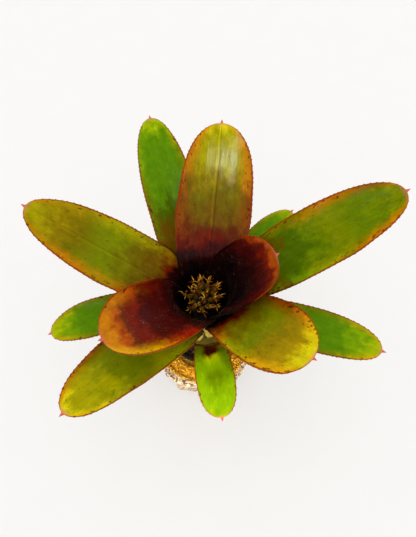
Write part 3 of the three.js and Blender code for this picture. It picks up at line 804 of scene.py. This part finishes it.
def flower_head():
    shape = Shape("kind", "rise", "rib")
    random = np.random.default_rng(3)
    scape_and_core(shape)
    for i in range(CAPSULE_COUNT):
        tilt = math.radians(CAPSULE_TILT * math.sqrt((i + 0.5) / CAPSULE_COUNT))
        way = math.radians(GOLDEN_ANGLE * i)
        out = polar(math.sin(tilt), way, math.cos(tilt))
        seat = out * (CORE_RADIUS, CORE_RADIUS, CORE_DOME) + (0, 0, CORE_CENTRE)
        axis = unit(LEAN_OUT * out + (0, 0, LEAN_UP) + random.uniform(-0.12, 0.12, 3))
        middle = seat + CAPSULE_LIFT * axis
        capsule(shape, middle, axis, random)
        first, second = frame_round(axis)
        start = random.uniform(0, TAU)
        crown = middle + axis * (CAPSULE_HALF_LENGTH - 1.6)
        for k in range(6):
            # Three sepals, then three threads left over from the flower.
            turn, width = (0, SEPAL_WIDTH) if k < 3 else (THREAD_TURN, THREAD_WIDTH)
            angle = start + (k + random.uniform(-0.25, 0.25)) * TAU / 3 + turn
            outward = first * math.cos(angle) + second * math.sin(angle)
            length = SEPAL_LENGTH * random.uniform(0.55, 1.1)
            bend = math.radians(random.uniform(5, 120))
            curl = math.radians(random.uniform(-150, 150))
            claw(shape, crown + outward * 0.5, axis, outward, length, width, bend, curl, SEPAL)
        side = unit(np.cross(axis, np.cross(out + (0, 0, 0.01), axis)))
        foot = middle - axis * CAPSULE_HALF_LENGTH + side * 1.8
        claw(shape, foot, axis, side, BRACT_LENGTH, BRACT_WIDTH, 0.2, 0.0, BRACT)
    return shape


def flower_material():
    g = Shader("dry_flower_skin")
    kind = g.attribute("kind")
    rise = g.attribute("rise")
    rib = g.attribute("rib")
    grain = g.noise((0.5, 0.5, 0.2), detail=4.0, roughness=0.6)
    level = g.add(rise, g.swing(grain, 0.6))
    capsules = g.ramp(
        level, ((0.0, (14, 8, 2)), (0.35, (44, 34, 5)), (0.7, (104, 84, 16)), (1.0, (112, 56, 10)))
    )
    # Painted shade in the furrows between the capsules' ribs.
    capsules = g.blend(g.span(rib, 0.2, -0.8, 0.0, 0.75), capsules, (34, 18, 5))
    sepals = g.ramp(
        level, ((0.0, (40, 18, 2)), (0.25, (150, 70, 4)), (0.6, (255, 196, 60)), (1.0, (190, 96, 14)))
    )
    faded = g.noise((0.13, 0.13, 0.13), detail=1.0)
    sepals = g.blend(g.span(faded, 0.47, 0.56, 0.0, 0.9), sepals, (140, 80, 44), "MULTIPLY")
    bracts = g.ramp(level, ((0.0, (10, 5, 3)), (0.5, (34, 15, 8)), (1.0, (82, 44, 16))))
    colour = g.blend(g.span(kind, 0.15, 0.3), capsules, bracts)
    colour = g.blend(g.span(kind, 0.75, 0.9), colour, sepals)
    g.bump(g.noise((2.2, 2.2, 0.8), detail=3.0), 0.25, 0.7)
    return g.finish(colour, g.span(grain, 0.3, 0.7, 0.5, 0.75), sheen=0.08)


flower_head().piece("flower_head_dry", flower_material(), "dry_flower", "flower_head", ROSETTE)


# ---------- Bark pot ----------
FLAKE_WIDTH = 5
FLAKE_HEIGHT = 16
FLAKE_RELIEF = 0.9
FURROW_DEPTH = 3.9
RIM_ROUNDING = 2.5
RIM_INSET = 1.2


def bark_outer_radius(turn, height):
    share = height / POT_HEIGHT
    wave = sum(part * np.cos(lobes * (turn - math.radians(way))) for lobes, way, part in BARK_LOBES)
    wave = wave + BARK_RIDGE_SHARE * np.sin(BARK_RIDGES * turn - height / BARK_RIDGE_PITCH)
    relief = mix(BARK_FOOT_RELIEF, BARK_RIM_RELIEF, share)
    return mix(POT_FOOT_RADIUS, POT_RIM_RADIUS, share) + relief * wave


def bark_pot():
    turn = np.linspace(0, TAU, 360, endpoint=False)[None, :]
    height = POT_HEIGHT * np.linspace(0, 1, 90)[:, None]
    outer = bark_outer_radius(turn, height)
    where = polar(outer, turn, height) / (FLAKE_WIDTH, FLAKE_WIDTH, FLAKE_HEIGHT)
    flakes = fractal_noise(where, 4, 11)
    cracks = np.abs(fractal_noise(where * (1.4, 1.4, 0.6) + 30, 3, 17))
    outer = outer + FLAKE_RELIEF * (flakes - 1) - FURROW_DEPTH * np.clip(0.25 - cracks, 0, 1)
    outer = outer - RIM_INSET * smooth((height - POT_HEIGHT + RIM_ROUNDING) / RIM_ROUNDING)
    wall = polar(outer, turn, height)
    rim = []
    for share in (0.2, 0.5, 0.8):
        radius = mix(outer[-1:], POT_RIM_INNER_RADIUS, share)
        bumps = 0.35 * lattice_noise(polar(radius, turn, 7 * share) / 4, 23)
        rim.append(polar(radius, turn, POT_HEIGHT - 0.3 + bumps))
    inner_rows = np.linspace(POT_HEIGHT - 0.6, POT_FLOOR, 40)[:, None]
    inner = mix(POT_FOOT_INNER_RADIUS, POT_RIM_INNER_RADIUS, inner_rows / POT_HEIGHT)
    inner_wall = polar(inner, turn, inner_rows)
    foot = polar(mix(1.0, outer[:1], 0.5), turn, 0.0)
    floor_middle = polar(0.5 * POT_FOOT_INNER_RADIUS, turn, POT_FLOOR)
    points = np.concatenate([foot, wall, *rim, inner_wall, floor_middle])
    depth = np.full(points.shape[:2], 0.5)
    depth[1 : 1 + len(wall)] = np.clip(0.5 + 0.35 * flakes - 1.5 * np.clip(0.2 - cracks, 0, 1), 0, 1)
    shape = Shape("depth")
    shape.grid(points, depth=depth)
    return shape


def bark_material():
    g = Shader("bark_skin")
    depth = g.attribute("depth")
    fine = g.noise((0.35, 0.35, 0.12), detail=6.0, roughness=0.65, distortion=0.6)
    blotch = g.noise((0.09, 0.09, 0.06))
    furrow_noise = g.noise((0.1, 0.1, 0.085), roughness=0.6, distortion=1.6)
    flaking = g.noise((0.22, 0.22, 0.2))
    furrows = g.span(g.absolute(g.add(furrow_noise, -0.5)), 0.052, 0.022)
    furrows = g.times(furrows, g.span(flaking, 0.4, 0.48))
    pale = g.ramp(
        fine,
        ((0.3, (126, 86, 54)), (0.4, (178, 146, 108)), (0.5, (200, 176, 142)), (0.7, (218, 202, 176))),
    )
    pale = g.blend(g.span(blotch, 0.45, 0.65, 0.0, 0.5), pale, (186, 150, 116))
    dark = g.math("MAXIMUM", furrows, g.span(depth, 0.26, 0.08))
    colour = g.blend(g.times(dark, 0.9), pale, (62, 36, 24))
    g.bump(g.add(fine, g.times(dark, -0.6)), 0.9, 0.8)
    return g.finish(colour, 0.85, sheen=0.25)


bark_pot().piece("bark_pot_rough", bark_material(), "bark", "bark_pot")


# ---------- Coir ----------
MAT_SIDES = 400
MAT_STEPS = 21
MAT_THICKNESS = 2.3
FIBRE_COUNT = 2200
FIBRE_POINTS = 7


def coir_material():
    g = Shader("coir_skin")
    tone = g.noise((0.5, 0.5, 0.5), detail=5.0, roughness=0.7)
    strands = g.noise((1.8, 0.4, 0.9), detail=4.0, roughness=0.6, distortion=2.0)
    colour = g.ramp(
        g.add(g.times(tone, 0.6), g.times(strands, 0.4)),
        ((0.38, (104, 44, 2)), (0.46, (236, 144, 18)), (0.53, (255, 198, 44)), (0.6, (255, 232, 110))),
    )
    g.bump(strands, 0.8, 0.9)
    return g.finish(colour, 0.9, sheen=0.2)


def nursery_edge(turn):
    """How far the nursery pot's rim is from the bark pot's axis at a heading."""
    reach = NURSERY_RIM_RADIUS + CLEARANCE
    return NURSERY_BACK * np.sin(turn) + np.sqrt(reach**2 - (NURSERY_BACK * np.cos(turn)) ** 2)


def coir_fibres():
    """A lumpy mat between the two pots with loose curly strands lying on it."""
    random = np.random.default_rng(21)
    shape = Shape()
    turn = np.linspace(0, TAU, MAT_SIDES, endpoint=False)[None, :]
    outer = POT_RIM_INNER_RADIUS - 0.5
    inner = np.minimum(nursery_edge(turn), outer - 0.3)
    share = np.linspace(0, 1, MAT_STEPS + 1)[:, None]
    reach = mix(inner, outer, share)
    flat = polar(reach, turn, 0)
    lumps = fractal_noise(flat / 6, 2, 5) + 0.7 * fractal_noise(flat / 1.6, 2, 7)
    swell = np.sin(math.pi * share) ** 0.35
    mat_height = COIR_TOP + 0.4 + (MAT_THICKNESS + 0.9 * lumps) * swell
    shape.grid(polar(reach, turn, mat_height)[::-1], caps=False)
    steps = np.linspace(0, 1, FIBRE_POINTS)
    sides = np.linspace(0, TAU, 3, endpoint=False)
    cos_side = np.cos(sides)[None, :, None]
    sin_side = np.sin(sides)[None, :, None]
    made = 0
    while made < FIBRE_COUNT:
        turn = random.uniform(0, TAU)
        edge = nursery_edge(turn)
        if edge > POT_RIM_INNER_RADIUS - 2:
            continue
        share = random.uniform(0, 1)
        reach = mix(edge, POT_RIM_INNER_RADIUS + 0.8, share)
        height = mat_height[int(share * MAT_STEPS), int(turn / TAU * MAT_SIDES) % MAT_SIDES]
        height = height + random.uniform(-0.2, 0.9)
        way = random.uniform(0, TAU) + random.uniform(-2.4, 2.4) * steps
        step = random.uniform(4, 12) / FIBRE_POINTS
        path = np.zeros((FIBRE_POINTS, 3))
        path[:, 0] = reach * math.cos(turn) + np.cumsum(np.cos(way)) * step
        path[:, 1] = reach * math.sin(turn) + np.cumsum(np.sin(way)) * step
        path[:, 2] = height + random.uniform(0.2, 1.1) * np.sin(steps * math.pi + random.uniform(0, 1))
        far = np.hypot(path[:, 0], path[:, 1])
        near = np.hypot(path[:, 0], path[:, 1] - NURSERY_BACK).min()
        if far.max() > POT_RIM_INNER_RADIUS + 2 or near < NURSERY_RIM_RADIUS + 0.2:
            continue
        over_rim = far > POT_RIM_INNER_RADIUS - 1
        path[over_rim, 2] = np.maximum(path[over_rim, 2], POT_HEIGHT + 0.1)
        ahead = unit(np.gradient(path, axis=0))
        beside = unit(np.cross(ahead, (0, 0, 1)))
        above = np.cross(beside, ahead)
        thick = random.uniform(0.1, 0.38)
        shape.grid(path[:, None] + thick * (beside[:, None] * cos_side + above[:, None] * sin_side))
        made += 1
    return shape


coir = coir_material()
coir_fibres().piece("coir_fibres", coir, "coir")


# ---------- Potting mix ----------
CHIP_COUNT = 420
CHIP_ROWS = 5
CHIP_SIDES = 7


def soil_material():
    g = Shader("soil_skin")
    grain = g.noise((0.7, 0.7, 0.7), detail=6.0, roughness=0.7)
    colour = g.ramp(
        grain, ((0.3, (20, 13, 9)), (0.5, (48, 34, 24)), (0.62, (78, 54, 36)), (0.75, (120, 92, 66)))
    )
    g.bump(grain, 1.0, 1.0)
    return g.finish(colour, 0.95, sheen=0.2)


def soil_chips():
    """Flakes of bark and crumbs lying on the potting mix."""
    random = np.random.default_rng(31)
    shape = Shape()
    made = 0
    while made < CHIP_COUNT:
        turn = random.uniform(0, TAU)
        reach = SOIL_RADIUS * math.sqrt(random.uniform(0, 1))
        size = random.uniform(0.7, 2.6)
        place = (reach * math.cos(turn), NURSERY_BACK + reach * math.sin(turn), SOIL_TOP + 0.3)
        stem_gap = math.hypot(place[0], place[1] - ROSETTE[1]) - STEM_RADIUS
        if stem_gap < 1 + size or reach + size > SOIL_RADIUS:
            continue
        rise = np.linspace(0.02, 0.98, CHIP_ROWS)[:, None]
        around = np.linspace(0, TAU, CHIP_SIDES, endpoint=False)[None, :]
        flatness = random.uniform(0.3, 0.7)
        spin = random.uniform(0, TAU)
        girth = size * np.sin(math.pi * rise) ** 0.6 * random.uniform(0.7, 1.1, (CHIP_ROWS, CHIP_SIDES))
        along = girth * np.cos(around)
        across = girth * np.sin(around) * random.uniform(0.5, 0.9)
        x = along * math.cos(spin) - across * math.sin(spin)
        y = along * math.sin(spin) + across * math.cos(spin)
        shape.grid(points_at(x, y, size * flatness * (2 * rise - 1)) + place)
        made += 1
    return shape


soil = soil_material()
soil_chips().piece("soil_chips", soil, "soil")


# ---------- The solids that stay ----------
def plastic_material():
    g = Shader("black_plastic_skin")
    dust = g.noise((0.15, 0.15, 0.3), detail=5.0, roughness=0.7)
    scuffs = g.noise((0.2, 0.2, 2.5), detail=3.0, distortion=0.8)
    colour = g.ramp(dust, ((0.3, (9, 10, 11)), (0.6, (16, 16, 16)), (0.8, (44, 40, 34))))
    g.bump(scuffs, 0.15, 0.4)
    return g.finish(colour, g.span(scuffs, 0.35, 0.7, 0.26, 0.5), sheen=0.45)


def stem_material():
    g = Shader("stem_skin")
    rings = g.noise((0.1, 0.1, 1.1), detail=4.0)
    fibre = g.noise((0.9, 0.9, 0.15), detail=4.0, roughness=0.6)
    tone = g.add(g.times(rings, 0.5), g.times(fibre, 0.5))
    colour = g.ramp(tone, ((0.35, (16, 9, 6)), (0.5, (40, 26, 14)), (0.65, (72, 54, 32))))
    g.bump(g.add(rings, fibre), 0.6, 0.8)
    return g.finish(colour, 0.8, sheen=0.25)


def dress(node, material):
    """Gives a solid that stays in view its material."""
    slots = nodes[node].data.materials
    slots.clear()
    slots.append(material)


dress("coir_fill", coir)
dress("potting_mix", soil)
dress("stem", stem_material())
dress("nursery_pot", plastic_material())
weld = nodes["nursery_pot"].modifiers.new("weld", "WELD")
weld.merge_threshold = 0.01 * MM
bevel = nodes["nursery_pot"].modifiers.new("bevel", "BEVEL")
bevel.width = 0.4 * MM
bevel.segments = 3
bevel.limit_method = "ANGLE"
bevel.angle_limit = math.radians(35)


# ---------- Floor, light and camera ----------
FLOOR_RADIUS = 2400
COVE_RADIUS = 700
WALL_TOP = 7000
FLOOR_SIDES = 96
CAMERA_PLACE = (4.0, -143.3, 512.1)
CAMERA_TILT = 27  # from straight down
CAMERA_LENS = 30.17


def floor_shape():
    """A round floor whose rim curves up into a wall, well away from the plant."""
    turn = np.linspace(0, TAU, FLOOR_SIDES, endpoint=False)[None, :]
    bend = np.arange(13) * math.pi / 24
    cove = FLOOR_RADIUS + COVE_RADIUS * np.sin(bend)
    radius = np.array([1, 800, 1600, *cove, FLOOR_RADIUS + COVE_RADIUS])[:, None]
    height = np.array([0, 0, 0, *(COVE_RADIUS * (1 - np.cos(bend))), WALL_TOP])[:, None]
    shape = Shape()
    shape.grid(polar(radius, turn, height), caps=False)
    shape.faces.append(list(range(FLOOR_SIDES)))
    return shape


def floor_material():
    g = Shader("floor_paint")
    speckle = g.noise((0.02, 0.02, 0.02))
    paint = g.ramp(speckle, ((0.0, (164, 163, 162)), (1.0, (168, 167, 166))))
    metres_up = g.node("SeparateXYZ", {0: g.place((MM, MM, MM))}).outputs[2]
    g.plug(g.surface.inputs["Emission Strength"], g.span(metres_up, 0.0, 0.7, 0.52, 0.64))
    g.surface.inputs["Emission Color"].default_value = (1.0, 0.99, 0.98, 1.0)
    return g.finish(paint, 0.7, sheen=0.1)


made = floor_shape().build("floor", floor_material())

world = bpy.data.worlds.new("studio")
bpy.context.scene.world = world
world.use_nodes = True
background = world.node_tree.nodes["Background"].inputs
background["Color"].default_value = (1.0, 0.99, 0.98, 1)
background["Strength"].default_value = 0.22


def hang(light, azimuth, elevation, distance=0.0, aim=(0, 0, 0)):
    """Hangs a light at the distance, azimuth and elevation, in degrees, facing the place aimed at."""
    turn = math.radians(azimuth)
    lift = math.radians(elevation)
    towards = (math.cos(lift) * math.sin(turn), -math.cos(lift) * math.cos(turn), math.sin(lift))
    made = bpy.data.objects.new(light.name, light)
    made.location = [place + distance * step for place, step in zip(aim, towards)]
    made.rotation_euler = (math.pi / 2 - lift, 0, turn)
    bpy.context.scene.collection.objects.link(made)
    return made


def lamp(name, strength, azimuth, elevation, softness):
    """A soft distant light that leaves no highlight."""
    light = bpy.data.lights.new(name, "SUN")
    light.energy = strength
    light.angle = math.radians(softness)
    hang(light, azimuth, elevation).visible_glossy = False


def softbox(irradiance, azimuth, elevation, distance, width, height):
    """A rectangular light that shows only as a sheen on the leaves."""
    light = bpy.data.lights.new("softbox", "AREA")
    light.shape = "RECTANGLE"
    light.size = width
    light.size_y = height
    light.energy = irradiance * math.pi * distance**2
    hang(light, azimuth, elevation, distance).visible_diffuse = False


def snoot(strength, azimuth, elevation, distance, width, aim):
    """A narrow soft-edged beam on the plant, which leaves the floor as it is."""
    light = bpy.data.lights.new("snoot", "SPOT")
    light.energy = strength * 4 * math.pi**2 * distance**2
    light.spot_size = 2 * math.atan(width / 2 / distance)
    light.spot_blend = 0.7
    light.shadow_soft_size = 0.06
    made = hang(light, azimuth, elevation, distance, aim)
    made.visible_glossy = False
    plant = bpy.data.collections.new("plant")
    for piece in bpy.data.objects:
        if piece.type == "MESH" and piece.name != "floor":
            plant.objects.link(piece)
    made.light_linking.receiver_collection = plant


lamp("front", strength=1.3, azimuth=0, elevation=32, softness=50)
lamp("top", strength=2.15, azimuth=200, elevation=75, softness=80)
softbox(irradiance=1.25, azimuth=-36, elevation=74, distance=2.5, width=0.1, height=0.34)
snoot(strength=2.9, azimuth=-1, elevation=31, distance=1.5, width=0.13, aim=(-0.002, -0.035, 0.085))

camera = bpy.data.cameras.new("camera")
camera.sensor_width = 36
camera.lens = CAMERA_LENS
camera.clip_start = 0.01
camera.clip_end = 100
camera_object = bpy.data.objects.new("camera", camera)
camera_object.location = [place * MM for place in CAMERA_PLACE]
camera_object.rotation_euler = (math.radians(CAMERA_TILT), 0, 0)
bpy.context.scene.collection.objects.link(camera_object)
bpy.context.scene.camera = camera_object
bpy.context.scene.view_settings.view_transform = "Standard"
